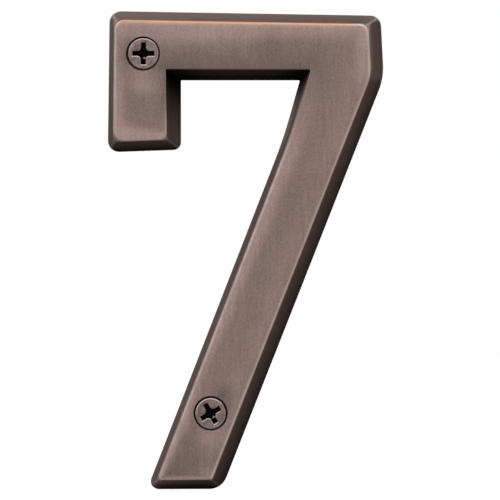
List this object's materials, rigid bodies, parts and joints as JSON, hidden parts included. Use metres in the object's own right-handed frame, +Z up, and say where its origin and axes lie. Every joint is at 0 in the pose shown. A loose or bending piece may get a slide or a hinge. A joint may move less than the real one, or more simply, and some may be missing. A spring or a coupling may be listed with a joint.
{
  "type": "house number",
  "caption": "Cast house number in the shape of a seven, with sloping sides, a brushed bronze face, a cored back and countersunk wall screws.",
  "frame": {"origin": "midway between the screw axes, on the wall plane", "axes": "+Z up the numeral as it is read, +Y into the wall, +X to the reader's right"},
  "size_m": [0.0587, 0.0255, 0.1016],
  "materials": {
    "bronze_casting": "brushed bronze face, dark sides",
    "screw_metal": "bronze plated"
  },
  "bodies": {
    "root": {"numeral_seven": "bronze_casting", "mounting_screws": "screw_metal"}
  },
  "joints": []
}
